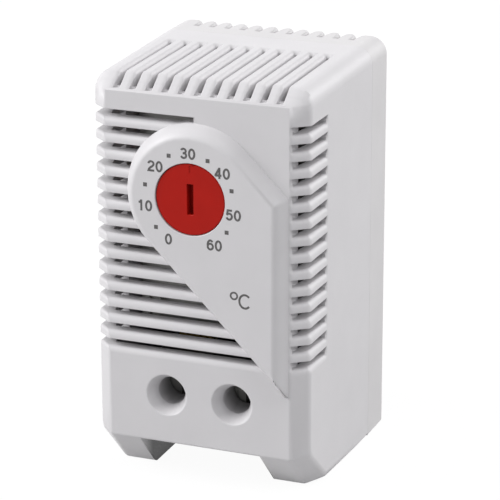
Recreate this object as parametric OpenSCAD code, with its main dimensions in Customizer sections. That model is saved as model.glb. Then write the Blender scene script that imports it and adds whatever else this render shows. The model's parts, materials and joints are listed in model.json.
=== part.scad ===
// Compact bimetal thermostat for a 35 mm mounting rail.
// Depths (Y) are counted from the flat front face back towards the rail, heights (Z) from the feet.

/* [Case] */
// Width of the case at the parting line
case_w = 33; // [31:0.5:36]
// Height of the case
case_h = 60; // [58:0.5:64]
// Depth of the front cover, up to the parting line
cover_d = 26; // [25:0.5:27]
// Depth of the base behind the parting line
base_d = 7.2; // [6.5:0.1:9]
// Side wall of the cover and the base
side_wall = 2.3; // [1.8:0.1:2.6]
// Front wall of the cover, and back wall of the base
face_wall = 2; // [1.6:0.1:2.4]
// Top wall of the cover and the base
top_wall = 2.1; // [1.8:0.1:2.6]
// Run of the slope that thickens the inner corners behind the front wall
haunch_d = 2.4; // [1:0.1:3]
// Drop of that slope under the top wall, which makes the top ribs deeper at the front
haunch_h = 2.4; // [1:0.1:2.6]
// Width of that slope beside the side walls
haunch_w = 0.5; // [0.2:0.1:2]
// Radius of the long edges between the top and the sides
top_round = 2.5; // [1.5:0.1:3.5]
// Radius of the edges round the back of the base
back_round = 1; // [0.5:0.1:2]

/* [Front bevels] */
// Width of the upright bevels beside the front face
bevel_w = 2.3; // [1:0.1:3]
// Depth of the upright bevels
bevel_d = 1.9; // [1:0.1:3]
// Draft of each side from the bevel back to the parting line
side_draft = 0.33; // [0:0.01:0.5]
// Height of the sloped top edge of the front
brow_h = 2.1; // [1:0.1:3]
// Depth of the sloped top edge
brow_d = 2.9; // [1.5:0.1:4]
// Draft of the top from the sloped edge back to the parting line
top_draft = 0.35; // [0:0.01:0.5]

/* [Feet] */
// Height of the two feet
foot_h = 5.9; // [4.5:0.1:7]
// Depth of the slope under the front face
chin_d = 5.7; // [4:0.1:7]
// Half the width of the notch between the feet
notch_half_w = 9.2; // [8.5:0.1:10]
// Floor of the cover above the notch
floor_wall = 1.7; // [1.2:0.1:2]

/* [Vents] */
// Number of slots in the front and sides
side_slots = 15; // [6:1:15]
// Spacing of the slots in the front and sides
side_pitch = 2.43; // [2:0.01:2.5]
// Height of each slot in the front and sides
side_slot_h = 1.15; // [0.6:0.05:1.4]
// Drop from the top of the case to the first slot in the front
first_slot_drop = 5.3; // [5:0.1:6.5]
// Depth to which the side slots run
side_slot_d = 8; // [4:0.5:11]
// Number of slots in the top
top_slots = 11; // [5:1:11]
// Spacing of the slots in the top
top_pitch = 2.42; // [2:0.01:2.5]
// Width of each slot in the top
top_slot_w = 0.9; // [0.6:0.05:1.4]
// Depth to which the top slots run
top_slot_d = 20; // [10:0.5:22]

/* [Dial plate] */
// Sideways place of the dial
dial_x = -0.15; // [-1:0.05:1]
// Drop from the top of the case to the middle of the dial
dial_drop = 16.4; // [15.8:0.1:16.8]
// Radius of the plate's round end, at the front face
plate_r = 10.35; // [9:0.05:11]
// How far the plate stands out of the front face
plate_h = 2.2; // [1.5:0.1:3]
// Width of the rounded bevel round the plate
plate_bevel = 1.85; // [1:0.05:2.5]
// Gap between the plate and the front face's right edge
plate_inset = 0.3; // [0.1:0.1:1]

/* [Setting knob] */
// Radius of the knob
knob_r = 5.15; // [4.6:0.05:5.6]
// How far the knob's face lies below the plate
knob_sink = 0.15; // [0.1:0.05:0.5]
// Width of the flange round the knob behind the plate
knob_flange_w = 0.95; // [0.8:0.05:1.1]
// Thickness of the flange
knob_flange_t = 1; // [0.6:0.1:1.2]
// Depth behind the front face where the flange starts
knob_flange_y = 0.7; // [0.6:0.1:0.9]
// Width of the screwdriver slot
driver_w = 0.95; // [0.8:0.05:1.4]
// Length of the screwdriver slot
driver_l = 4.4; // [4:0.1:6]
// Depth of the screwdriver slot
driver_d = 1.6; // [1:0.1:2]
// Radius of the knob's hub
hub_r = 2.6; // [2.4:0.1:3]
// Depth at which the hub ends
hub_end_y = 6; // [5.5:0.1:6.5]

/* [Spindle] */
// Radius of the spindle's thread
spindle_r = 2; // [1.8:0.1:2.2]
// Side of the square that sits in the hub
square_w = 2.4; // [2.2:0.1:2.6]
// Depth at which the square begins
square_y = 2.5; // [2.2:0.1:3]
// Radius of the bush's flange
bush_r = 3.5; // [3.2:0.1:4]
// Radius of the bush where it sits in the frame
bush_neck_r = 2.9; // [2.6:0.1:3]

/* [Frame and lever] */
// Depth of the frame plate's front
frame_y = 11.6; // [11:0.1:12]
// Thickness of the frame plate and the lever
sheet_t = 1.2; // [1:0.1:1.3]
// Height of the frame plate's lower edge
frame_low_z = 19.6; // [19:0.1:20.4]
// Radius of the four posts that carry the frame
post_r = 2; // [1.7:0.1:2.2]
// Distance from the spindle up to the lever's pin
pin_arm = 7.1; // [6.8:0.1:7.4]
// Radius of the lever's pin
pin_r = 1; // [0.8:0.05:1.2]

/* [Bimetal and contacts] */
// Width of the bimetal strip
strip_w = 4; // [3:0.1:4.4]
// Thickness of the bimetal strip
strip_t = 0.5; // [0.3:0.05:0.6]
// Height of the strip's free end
strip_low_z = 21; // [20.5:0.1:22]
// Radius of the contact buttons
contact_r = 1.3; // [0.8:0.1:1.5]
// Thickness of a contact button
contact_t = 1; // [0.6:0.1:1.2]
// Gap between the contacts with the dial in the middle
contact_gap = 1.5; // [1.4:0.1:2]
// Height of the contacts above the strip's free end
contact_up = 2.6; // [2:0.1:4]
// Height of the magnet
magnet_h = 5; // [3:0.1:6]
// Thickness of the magnet
magnet_t = 2.6; // [1.5:0.1:3]

/* [Terminals] */
// Half the distance between the two terminals
term_x = 5; // [4.8:0.1:5.2]
// Height of the terminal screws
term_z = 13.2; // [13:0.1:13.6]
// Radius of the screw holes at the front face
funnel_r = 3.05; // [2.7:0.05:3.4]
// Depth of the funnel's cone
funnel_d = 2; // [1:0.1:2.5]
// Radius of the tube behind the funnel
tube_r = 2.1; // [2:0.05:2.3]
// Radius of the terminal screws
term_screw_r = 1.5; // [1.2:0.05:1.6]
// Width of a terminal cage
cage_w = 6.2; // [6:0.1:6.6]
// Height of a terminal cage
cage_h = 5.4; // [4.6:0.1:5.6]
// Metal thickness of a cage
cage_t = 0.8; // [0.6:0.05:0.9]
// Opening of a cage for the wire
wire_gap = 4; // [3.4:0.1:4]
// Radius of the wire holes in the cover's floor
wire_r = 2; // [1.7:0.05:2.1]
// Thickness of the bars that lead from the terminals
bar_t = 1; // [0.8:0.05:1.1]

/* [Rail clip] */
// Height of the mounting rail
rail_h = 35; // [35:0.1:35.4]
// Thickness of the rail's lips
rail_t = 1; // [0.8:0.05:1.1]
// How far the saddle for the rail stands behind the base
saddle_d = 3.4; // [3.2:0.1:4]
// Depth of the hooks that reach behind the rail's lips
hook_d = 3; // [2:0.1:3.5]
// How far the hooks reach over the rail's lips
hook_grip = 1.9; // [1.2:0.1:2.4]
// Half the width of the saddle
saddle_half_w = 12.5; // [12:0.1:13.5]
// Half the width of the latch's guided edges
latch_half_w = 8.3; // [7:0.1:8.6]
// Travel of the latch when it is pulled down
latch_travel = 3; // [2.4:0.1:3.2]
// Wire of the latch spring
spring_wire = 0.4; // [0.35:0.01:0.45]
// Number of curls in the latch spring
spring_curls = 8; // [6:1:9]

/* [Hidden] */
$fn = 48;

// Overrun of cuts, and the thickness of the thin slabs that outlines are stretched between
over = 0.5;
thin = 0.02;
// Clearances: running fit, flat sliding faces, pieces that only pass each other, pressed seats
run_gap = 0.07;
slide_gap = 0.15;
free_gap = 0.3;
seat_gap = 0.02;

// Outline of the case
case_d = cover_d + base_d;
half_w = case_w / 2;
face_half_w = half_w - side_draft - bevel_w;
face_top_z = case_h - top_draft - brow_h;
brow_top_z = case_h - top_draft;
inner_half_w = half_w - side_wall;
inner_top_z = case_h - top_wall;
floor_z = foot_h + floor_wall;
base_floor_y = case_d - face_wall;

// Chin: how far its bevel climbs beside the face, and where it runs out along the bottom
chin_rise = 1.2;
chin_corner_w = 0.15;
chin_bevel_y = 2.3;
heel_y = 8;
heel_z = 1;
heel_low_y = 9;
heel_low_in = 0.9;
heel_run_out = 2;
heel_end_y = cover_d - heel_run_out;

// Slots in the back of the base, in line with those in the top
rear_band_d = 3;
rear_slot_y = cover_d + rear_band_d;
rear_slot_h = 7;
rear_slot_z = case_h - rear_slot_h;
slot_ledge_h = 0.2;
slot_floor_z = face_top_z + slot_ledge_h;

// Lip of the base inside the cover, and its snap nubs
lip_d = 3;
lip_t = 1;
nub_h = 8;
nub_d = 1.2;
nub_out = 0.6;
lip_out_x = inner_half_w - free_gap;
lip_in_x = lip_out_x - lip_t;
lip_top_z = inner_top_z - free_gap;

// Dial plate: its bevel is flat at a curve of 1 and rounder above it
dial_z = case_h - dial_drop;
plate_right_x = face_half_w - plate_inset;
plate_steps = 9;
plate_curve = 2;
first_slot_end_x = dial_x - free_gap;
first_slot_z = case_h - first_slot_drop;

// Knob, washer and spindle
knob_flange_r = knob_r + knob_flange_w;
washer_t = 0.3;
washer_y = knob_flange_y - washer_t - slide_gap / 2;
pointer_w = 0.25;
pointer_d = 0.06;
pointer_l = 1;
pointer_inset = 0.3;
square_gap = 0.1;
square_tail = 0.8;
square_end_y = hub_end_y + square_tail;
spindle_tip_r = 1.1;
spindle_tip_l = 0.9;
tip_gap = 0.1;
bush_neck_t = 0.5;

// Frame, posts and lever
bus_y = frame_y + sheet_t;
hinge_set = 4.3;
hinge_y = bus_y + hinge_set;
bush_y = hub_end_y + free_gap;
pin_z = dial_z + pin_arm;
post_set = 1.1;
post_x = lip_in_x - post_set;
frame_low_rim = 0.8;
frame_high_rim = 0.4;
post_drop = 4.3;
post_low_z = frame_low_z + post_r + frame_low_rim;
post_high_z = inner_top_z - post_drop;
post_hole_r = 1;
frame_hole_r = 1.1;
frame_high_z = post_high_z + post_r + frame_high_rim;
frame_half_w = lip_out_x - slide_gap;
screw_head_r = 1.9;
screw_head_t = 1.1;
screw_l = 6;
cross_w = 0.5;
cross_l = 2.8;
cross_d = 0.6;
lever_wall = 0.9;
knuckle_r = pin_r + run_gap + lever_wall;
lever_y = hinge_y - sheet_t / 2;
lever_pad = 2.6;
lever_clear = 1.4;
lever_right_x = dial_x + lever_pad;
lever_left_x = lever_clear + post_r - post_x;
lever_low_z = dial_z - lever_pad;
ear_w = 1;
ear_h = 4;
pin_end = 0.3;

// Lever spring on its post in the base
lever_spring_r = 1.7;
lever_spring_l = 6.8;
lever_spring_gap = 0.1;
lever_spring_curls = 6;
lever_post_r = 2.6;
guide_pin_r = 0.9;
guide_pin_h = 2.4;
wire_sides = 6;
coil_rings = 8;

// Strip, rivets, contacts and magnet
strip_x = lever_left_x + strip_w / 2;
strip_y = lever_y + sheet_t;
strip_gap = 0.4;
strip_top_z = pin_z - knuckle_r - strip_gap;
lever_spring_y = strip_y + strip_t + lever_spring_gap;
spring_seat_y = lever_spring_y + lever_spring_l + seat_gap;
rivet_r = 0.5;
rivet_head_r = 0.8;
rivet_head_t = 0.3;
rivet_pitch = 2.2;
rivet_drop = 1.1;
contact_z = strip_low_z + contact_up;
moving_face_y = strip_y + strip_t + contact_t;
fixed_face_y = moving_face_y + contact_gap;
bar_back_y = fixed_face_y + contact_t;
armature_t = 0.8;
magnet_drop = 2.4;
magnet_air = 1.25;
magnet_z = contact_z + contact_r + magnet_drop + magnet_h / 2;
magnet_y = strip_y + strip_t + armature_t + magnet_air;
magnet_rim = 1;
bar_over = 2;

// Terminal block, cages and screws
block_rise = 1.4;
block_low_z = floor_z + block_rise;
block_rim = 1.1;
block_top_z = term_z + cage_h / 2 + block_rim;
block_front_y = 6.3;
block_wall = 1.6;
block_back_y = bar_back_y + bar_t;
block_tail_h = 3;
bay_half_w = cage_w / 2 + free_gap;
block_side = 0.8;
block_half_w = term_x + bay_half_w + block_side;
head_gap = 0.1;
head_t = block_wall - head_gap;
head_y = block_front_y + head_gap;
head_rim = 0.4;
head_r = tube_r + head_rim;
driver_slot_w = 0.7;
driver_slot_d = 0.8;
boss_wall = 0.9;
wire_boss_wall = 0.8;
block_hole_rim = 0.4;
block_hole_r = wire_r + block_hole_rim;
cage_front_t = 1.5;
cage_y = bus_y - free_gap - cage_front_t;
cage_back_y = bus_y + bar_t + wire_gap + cage_t;
wire_y = bus_y + bar_t + wire_gap / 2;
bar_w = cage_w - 2 * cage_t - 2 * free_gap;
bar_tail = 0.6;
bar_low_z = term_z - cage_h / 2 - bar_tail + free_gap;
bar_lap = 7;

// Rail, saddle and latch
rail_z = case_h / 2;
rail_low_z = rail_z - rail_h / 2;
rail_high_z = rail_z + rail_h / 2;
rail_y = case_d + saddle_d;
rail_play = 0.4;
hook_y = rail_y + rail_t + rail_play;
back_y = hook_y + hook_d;
hook_h = 3.6;
cheek_drop = 4.5;
cheek_low_z = rail_low_z - cheek_drop;
pad_gap = 1;
pad_drop = 1.5;
pad_top_z = rail_high_z - pad_drop;
guide_x = latch_half_w + free_gap;
latch_lip_w = 1.5;
latch_y = case_d + free_gap;
latch_t = saddle_d - 2 * free_gap;
latch_lip_y = latch_y + latch_t / 2;
latch_rise = 0.4;
latch_low_z = cheek_low_z + latch_rise;
neck_half_w = guide_x - latch_lip_w - free_gap;
tab_low_z = latch_travel + free_gap;
tab_slot_z = 1.4;
tab_slot_h = 1.6;
tab_slot_w = 3.4;
stop_rise = 2.5;
stop_z = rail_low_z + stop_rise;
stop_h = 2;
stop_half_w = 2.4;
latch_spring_l = 10.4;
spring_r = latch_t / 2 - spring_wire / 2;
spring_end_gap = 0.05;
pocket_top_z = stop_z + stop_h + latch_spring_l + 2 * spring_end_gap;
latch_head = 2.1;
latch_top_z = pocket_top_z + latch_head;
guide_top_z = latch_top_z + latch_travel + rail_play;

from_centre_y = (back_y - plate_h) / 2;

// Moves a piece from depths behind the front face to the part's own origin
module from_face() {
    translate([0, -from_centre_y, 0]) children();
}

// Makes a shape and its mirror image on the other side
module both_sides() {
    children();
    mirror([1, 0, 0]) children();
}

// Cylinder that runs from one depth to another
module rod_y(r, y0, y1, x = 0, z = 0) {
    translate([x, y0, z]) rotate([-90, 0, 0]) cylinder(r = r, h = y1 - y0);
}

// Box between two corners
module box_between(a, b) {
    translate(a) cube(b - a);
}

// Thin outline of the case at one depth: round top corners, square lower ones
module case_slab(y, half, low_z, top_z, r) {
    both_sides() {
        if (r > 0) rod_y(r, y, y + thin, half - r, top_z - r);
        if (r == 0) box_between([half - thin, y, top_z - thin], [half, y + thin, top_z]);
        box_between([half - thin, y, low_z], [half, y + thin, low_z + thin]);
    }
}

// Small cube on each side, as a corner of the outline
module side_corner(x, y, z) {
    both_sides() box_between([x - thin, y, z], [x, y + thin, z + thin]);
}

// Whole outer skin of the front cover, with its slopes and bevels
module cover_skin() {
    hull() {
        case_slab(0, face_half_w, foot_h, face_top_z, 0);
        case_slab(bevel_d, half_w - side_draft, foot_h + chin_rise, face_top_z + brow_h * bevel_d / brow_d,
            top_round);
        case_slab(brow_d, half_w - side_draft, foot_h + chin_rise, brow_top_z, top_round);
        case_slab(cover_d - thin, half_w, 0, case_h, top_round);
        side_corner(face_half_w + chin_corner_w, chin_d, 0);
        side_corner(half_w - side_draft, chin_bevel_y, foot_h);
        side_corner(half_w - side_draft / 2, heel_y, heel_z);
        side_corner(half_w - heel_low_in, heel_low_y, 0);
        side_corner(half_w, heel_end_y, 0);
    }
}

// Skin of the base: the same outline, rounded round the back
module base_skin() {
    hull() {
        case_slab(cover_d, half_w, 0, case_h, top_round);
        for (a = [0:22.5:90]) {
            inset = back_round * (1 - cos(a));
            y = case_d - back_round * (1 - sin(a)) - thin;
            case_slab(y, half_w - inset, 0, case_h - inset, top_round);
        }
    }
}

// One outline of the dial plate: a round end and two 45 degree tangents that run to the right edge
module plate_slab(y, inset) {
    r = plate_r - inset;
    x = plate_right_x - inset;
    rod_y(r, y, y + thin, dial_x, dial_z);
    for (s = [-1, 1]) {
        z = dial_z + dial_x - x + s * r * sqrt(2);
        box_between([x - thin, y, z - thin / 2], [x, y + thin, z + thin / 2]);
    }
}

module dial_plate() {
    hull() {
        plate_slab(face_wall - thin, 0);
        for (i = [0:plate_steps]) {
            t = i / plate_steps;
            plate_slab(-plate_h * (1 - pow(1 - t, plate_curve)), plate_bevel * t);
        }
    }
}

// Slots that wrap round the left side and front, and those round the right side
module side_vents() {
    for (i = [0:side_slots - 1]) {
        top = first_slot_z - i * side_pitch;
        low = top - side_slot_h;
        plate_x = dial_z + dial_x - plate_r * sqrt(2) - top + plate_bevel;
        reach = i == 0 ? first_slot_end_x : max(first_slot_end_x, plate_x);
        box_between([-half_w - over, -over, low], [reach, face_wall + over, top]);
        box_between([-half_w - over, -over, low], [over - inner_half_w, side_slot_d, top]);
        box_between([face_half_w, -over, low], [half_w + over, side_slot_d, top]);
    }
}

module top_vents(y0, y1, z) {
    for (i = [0:top_slots - 1]) {
        x = (i - (top_slots - 1) / 2) * top_pitch;
        box_between([x - top_slot_w / 2, y0, z], [x + top_slot_w / 2, y1, case_h + over]);
    }
}

// Snap nubs on the lip of the base, and the pockets in the cover that they spring into
module nubs(grow) {
    y = cover_d - lip_d / 2;
    for (z = [dial_z, post_low_z]) {
        both_sides() box_between([lip_out_x - over, y - nub_d / 2 - grow, z - nub_h / 2 - grow],
            [inner_half_w + nub_out + grow, y + nub_d / 2 + grow, z + nub_h / 2 + grow]);
    }
}

// Tubes inside the cover that lead a screwdriver and the wires
module cover_bosses() {
    both_sides() {
        rod_y(tube_r + boss_wall, face_wall - over, block_front_y - head_gap, term_x, term_z);
        translate([term_x, wire_y, floor_z - over])
            cylinder(r = wire_r + wire_boss_wall, h = block_low_z - slide_gap - floor_z + over);
    }
}

module cover_bores() {
    both_sides() {
        translate([term_x, 0, term_z]) rotate([-90, 0, 0])
            cylinder(r1 = funnel_r, r2 = tube_r, h = funnel_d);
        rod_y(tube_r, funnel_d - thin, block_front_y + over, term_x, term_z);
        translate([term_x, wire_y, foot_h - over]) cylinder(r = wire_r, h = block_low_z - foot_h + over);
    }
    rod_y(knob_r + run_gap, -plate_h - over, knob_flange_y, dial_x, dial_z);
    rod_y(knob_flange_r + slide_gap, washer_y - seat_gap, face_wall + over, dial_x, dial_z);
}

module cover_hollow() {
    hull() {
        box_between([haunch_w - inner_half_w, face_wall, floor_z],
            [inner_half_w - haunch_w, cover_d + over, inner_top_z - haunch_h]);
        box_between([-inner_half_w, face_wall + haunch_d, floor_z], [inner_half_w, cover_d + over, inner_top_z]);
    }
    both_sides() box_between([notch_half_w + face_wall, chin_d + face_wall, face_wall],
        [inner_half_w, cover_d + over, floor_z + over]);
}

module front_cover() {
    color("gainsboro") from_face() difference() {
        union() {
            difference() {
                cover_skin();
                cover_hollow();
                side_vents();
                top_vents(-over, top_slot_d, slot_floor_z);
                top_vents(face_wall, top_slot_d, inner_top_z - haunch_h - over);
                box_between([-notch_half_w, -over, -over], [notch_half_w, cover_d + over, foot_h]);
                nubs(slide_gap);
            }
            dial_plate();
            cover_bosses();
        }
        cover_bores();
    }
}

// Lip that steps inside the cover, open at the bottom for the terminal block
module base_lip() {
    y0 = cover_d - lip_d;
    both_sides() box_between([lip_in_x, y0, floor_z + free_gap], [lip_out_x, cover_d + over, lip_top_z]);
    box_between([-lip_out_x, y0, lip_top_z - lip_t], [lip_out_x, cover_d + over, lip_top_z]);
    nubs(0);
}

// Two cheeks that the rail lies on, with lips that guide the latch, and the fixed hook at the top
module rail_saddle() {
    hook_low_z = rail_high_z + rail_play;
    both_sides() {
        box_between([guide_x, case_d - over, cheek_low_z], [saddle_half_w, rail_y, hook_low_z + hook_h]);
        box_between([guide_x - latch_lip_w, latch_lip_y + free_gap, cheek_low_z],
            [guide_x + over, rail_y, guide_top_z]);
    }
    box_between([-saddle_half_w, case_d - over, guide_top_z + pad_gap],
        [saddle_half_w, case_d + saddle_d / 2, pad_top_z]);
    box_between([-saddle_half_w, case_d - over, hook_low_z], [saddle_half_w, back_y, hook_low_z + hook_h]);
    box_between([-saddle_half_w, hook_y, rail_high_z - hook_grip],
        [saddle_half_w, back_y, hook_low_z + over]);
    box_between([-stop_half_w, case_d - over, stop_z], [stop_half_w, rail_y - free_gap, stop_z + stop_h]);
}

// Posts for the frame's screws, the lever spring and the magnet
module base_posts() {
    for (z = [post_low_z, post_high_z]) {
        both_sides() rod_y(post_r, bus_y, base_floor_y + over, post_x, z);
    }
    rod_y(lever_post_r, spring_seat_y, base_floor_y + over, dial_x, dial_z);
    rod_y(guide_pin_r, spring_seat_y - guide_pin_h, spring_seat_y + over, dial_x, dial_z);
    rim = strip_w / 2 + magnet_rim;
    box_between([strip_x - rim, magnet_y + magnet_t, magnet_z - magnet_h / 2 - magnet_rim],
        [strip_x + rim, base_floor_y + over, magnet_z + magnet_h / 2 + magnet_rim]);
}

module rear_base() {
    color("whitesmoke") from_face() difference() {
        union() {
            difference() {
                base_skin();
                box_between([-lip_in_x, cover_d - over, floor_z],
                    [lip_in_x, base_floor_y, lip_top_z - lip_t]);
                box_between([-notch_half_w, cover_d - over, -over], [notch_half_w, case_d + over, foot_h]);
                top_vents(rear_slot_y, case_d + over, rear_slot_z);
            }
            base_lip();
            base_posts();
            rail_saddle();
        }
        for (z = [post_low_z, post_high_z]) {
            both_sides() rod_y(post_hole_r, bus_y - over, bus_y + screw_l + over, post_x, z);
        }
    }
}

// Square rod on the dial's axis
module square_rod(w, y0, y1) {
    box_between([dial_x - w / 2, y0, dial_z - w / 2], [dial_x + w / 2, y1, dial_z + w / 2]);
}

module setting_knob() {
    face_y = knob_sink - plate_h;
    top_z = dial_z + knob_r - pointer_inset;
    color("firebrick") from_face() difference() {
        union() {
            rod_y(knob_r, face_y, knob_flange_y + over, dial_x, dial_z);
            rod_y(knob_flange_r, knob_flange_y, knob_flange_y + knob_flange_t, dial_x, dial_z);
            rod_y(hub_r, knob_flange_y, hub_end_y, dial_x, dial_z);
        }
        box_between([dial_x - driver_w / 2, face_y - over, dial_z - driver_l / 2],
            [dial_x + driver_w / 2, face_y + driver_d, dial_z + driver_l / 2]);
        box_between([dial_x - pointer_w / 2, face_y - over, top_z - pointer_l],
            [dial_x + pointer_w / 2, face_y + pointer_d, top_z]);
        square_rod(square_w + 2 * square_gap, square_y - free_gap, hub_end_y + over);
    }
}

module knob_washer() {
    color("silver") from_face() difference() {
        rod_y(knob_flange_r, washer_y, washer_y + washer_t, dial_x, dial_z);
        rod_y(knob_r + 2 * run_gap, washer_y - over, knob_flange_y, dial_x, dial_z);
    }
}

// Threads are plain cylinders at the outer radius of the screw
module setting_spindle() {
    tip_y = lever_y - tip_gap;
    color("goldenrod") from_face() {
        square_rod(square_w, square_y, square_end_y);
        rod_y(spindle_r, square_end_y, tip_y - spindle_tip_l, dial_x, dial_z);
        rod_y(spindle_tip_r, tip_y - spindle_tip_l, tip_y, dial_x, dial_z);
    }
}

module spindle_bush() {
    color("darkgoldenrod") from_face() difference() {
        union() {
            rod_y(bush_r, bush_y + bush_neck_t, frame_y, dial_x, dial_z, $fn = 6);
            rod_y(bush_neck_r, bush_y, bush_y + bush_neck_t, dial_x, dial_z);
            rod_y(bush_neck_r - seat_gap, frame_y, bus_y + bush_neck_t, dial_x, dial_z);
        }
        rod_y(spindle_r + run_gap, bush_y - over, bus_y + bush_neck_t + over, dial_x, dial_z);
    }
}

// Cylinder on the lever pin's axis, from one sideways place to another
module pin_rod(r, x0, x1) {
    translate([x0, hinge_y, pin_z]) rotate([0, 90, 0]) cylinder(r = r, h = x1 - x0);
}

module mechanism_frame() {
    ear_left_x = lever_left_x - free_gap - ear_w;
    ear_right_x = lever_right_x + free_gap;
    color("silver") from_face() difference() {
        union() {
            box_between([-frame_half_w, frame_y, frame_low_z], [frame_half_w, bus_y, frame_high_z]);
            for (x = [ear_left_x, ear_right_x]) {
                box_between([x, bus_y - over, pin_z - ear_h / 2],
                    [x + ear_w, hinge_y + ear_h / 2, pin_z + ear_h / 2]);
            }
        }
        rod_y(bush_neck_r, frame_y - over, bus_y + over, dial_x, dial_z);
        for (z = [post_low_z, post_high_z]) {
            both_sides() rod_y(frame_hole_r, frame_y - over, bus_y + over, post_x, z);
        }
        pin_rod(pin_r + seat_gap, ear_left_x - over, ear_right_x + ear_w + over);
    }
}

module frame_screws() {
    head_front_y = frame_y - screw_head_t;
    color("dimgray") from_face() for (z = [post_low_z, post_high_z]) {
        both_sides() difference() {
            union() {
                rod_y(screw_head_r, head_front_y, frame_y, post_x, z);
                rod_y(post_hole_r - seat_gap, frame_y - thin, bus_y + screw_l, post_x, z);
            }
            translate([post_x, head_front_y, z]) cube([cross_w, 2 * cross_d, cross_l], center = true);
            translate([post_x, head_front_y, z]) cube([cross_l, 2 * cross_d, cross_w], center = true);
        }
    }
}

// Places the two rivets that hold the strip on the lever
module at_rivets() {
    for (s = [-1, 1]) {
        translate([strip_x + s * rivet_pitch / 2, 0, strip_top_z - rivet_drop]) children();
    }
}

module adjusting_lever() {
    color("lightsteelblue") from_face() difference() {
        union() {
            pin_rod(knuckle_r, lever_left_x, lever_right_x);
            box_between([lever_left_x, lever_y, lever_low_z],
                [lever_right_x, strip_y, pin_z - pin_r - run_gap]);
        }
        pin_rod(pin_r + run_gap, lever_left_x - over, lever_right_x + over);
        at_rivets() rod_y(rivet_r + run_gap, lever_y - over, strip_y + over);
    }
}

module lever_pin() {
    reach = free_gap + ear_w + pin_end;
    color("gray") from_face() pin_rod(pin_r, lever_left_x - reach, lever_right_x + reach);
}

// Wound wire about +Z: the helix takes the middle of the height, and at each end the wire turns to run
// straight for its own thickness, square to the seat
function coil_share(i, rings) = min(max((i - 1) / rings, 0), 1);

function coil_lift(i, rings, w) = i == 0 ? -w : i == rings + 2 ? w : 0;

function coil_point(r, h, curls, w, i) =
    let(rings = coil_rings * curls, t = coil_share(i, rings), a = 360 * curls * t)
    [r * cos(a), r * sin(a), w + (h - 2 * w) * t + coil_lift(i, rings, w)];

// Ring of points round the wire, square to its run and halved between two runs where they meet
function coil_ring(r, h, curls, w, i) =
    let(rings = coil_rings * curls,
        a = 360 * curls * coil_share(i, rings),
        slope = atan2(h - 2 * w, 2 * PI * r * curls),
        turned = i == 1 || i == rings + 1,
        rise = i == 0 || i == rings + 2 ? 90 : turned ? (90 + slope) / 2 : slope,
        reach = turned ? 1 / cos((90 - slope) / 2) : 1,
        out = [cos(a), sin(a), 0],
        up = reach * [sin(a) * sin(rise), -cos(a) * sin(rise), cos(rise)])
    [for (k = [0:wire_sides - 1])
        let(b = 360 * k / wire_sides)
        coil_point(r, h, curls, w, i) + w / 2 * (cos(b) * out + sin(b) * up)];

// One unbroken wound wire of mean radius r and whole height h
module wound_spring(r, h, curls, w) {
    last = coil_rings * curls + 2;
    n = wire_sides;
    points = [for (i = [0:last]) each coil_ring(r, h, curls, w, i)];
    sides = [for (i = [0:last - 1], k = [0:n - 1])
        each [[n * i + k, n * (i + 1) + (k + 1) % n, n * i + (k + 1) % n],
            [n * i + k, n * (i + 1) + k, n * (i + 1) + (k + 1) % n]]];
    first_end = [for (k = [1:n - 2]) [0, k, k + 1]];
    last_end = [for (k = [1:n - 2]) [n * last, n * last + k + 1, n * last + k]];
    gaps = [for (i = [0:last], j = [i + coil_rings - 2:last])
        norm(coil_point(r, h, curls, w, i) - coil_point(r, h, curls, w, j)) - w];
    echo(str("least gap between curls, mm: ", min(gaps)));
    polyhedron(points, concat(sides, first_end, last_end));
}

module lever_spring() {
    color("silver") from_face() translate([dial_x, lever_spring_y, dial_z]) rotate([-90, 0, 0])
        wound_spring(lever_spring_r, lever_spring_l, lever_spring_curls, spring_wire);
}

module bimetal_strip() {
    color("burlywood") from_face() difference() {
        box_between([strip_x - strip_w / 2, strip_y, strip_low_z],
            [strip_x + strip_w / 2, strip_y + strip_t, strip_top_z]);
        at_rivets() rod_y(rivet_r + seat_gap, strip_y - over, strip_y + strip_t + over);
    }
}

module strip_rivets() {
    back_face_y = strip_y + strip_t;
    color("gray") from_face() at_rivets() {
        rod_y(rivet_r, lever_y - square_gap - thin, back_face_y + thin);
        rod_y(rivet_head_r, lever_y - square_gap - rivet_head_t, lever_y - square_gap);
        rod_y(rivet_head_r, back_face_y, back_face_y + rivet_head_t);
    }
}

module moving_contact() {
    color("silver") from_face() rod_y(contact_r, strip_y + strip_t, moving_face_y, strip_x, contact_z);
}

// Plate of the given depth behind the strip, at the magnet's height
module magnet_plate(y0, y1) {
    box_between([strip_x - strip_w / 2, y0, magnet_z - magnet_h / 2],
        [strip_x + strip_w / 2, y1, magnet_z + magnet_h / 2]);
}

module armature() {
    color("dimgray") from_face() magnet_plate(strip_y + strip_t, strip_y + strip_t + armature_t);
}

module snap_magnet() {
    color("black") from_face() magnet_plate(magnet_y, magnet_y + magnet_t);
}

module fixed_contact() {
    color("silver") from_face() rod_y(contact_r, fixed_face_y, bar_back_y, strip_x, contact_z);
}

// Bar from the fixed contact, down over the terminal block and into the left cage
module fixed_contact_bar() {
    left = strip_x - strip_w / 2;
    right = bar_w / 2 - term_x;
    color("peru") from_face() {
        box_between([left, bar_back_y, block_top_z],
            [left + strip_w, bar_back_y + bar_t, contact_z + bar_over]);
        box_between([left, bus_y, block_top_z], [right, bar_back_y + bar_t, block_top_z + bar_t]);
        box_between([right - bar_w, bus_y, bar_low_z], [right, bus_y + bar_t, block_top_z + bar_t]);
    }
}

// Bar from the frame down into the right cage
module bimetal_bar() {
    color("peru") from_face() box_between([term_x - bar_w / 2, bus_y, bar_low_z],
        [term_x + bar_w / 2, bus_y + bar_t, frame_low_z + bar_lap]);
}

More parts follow.
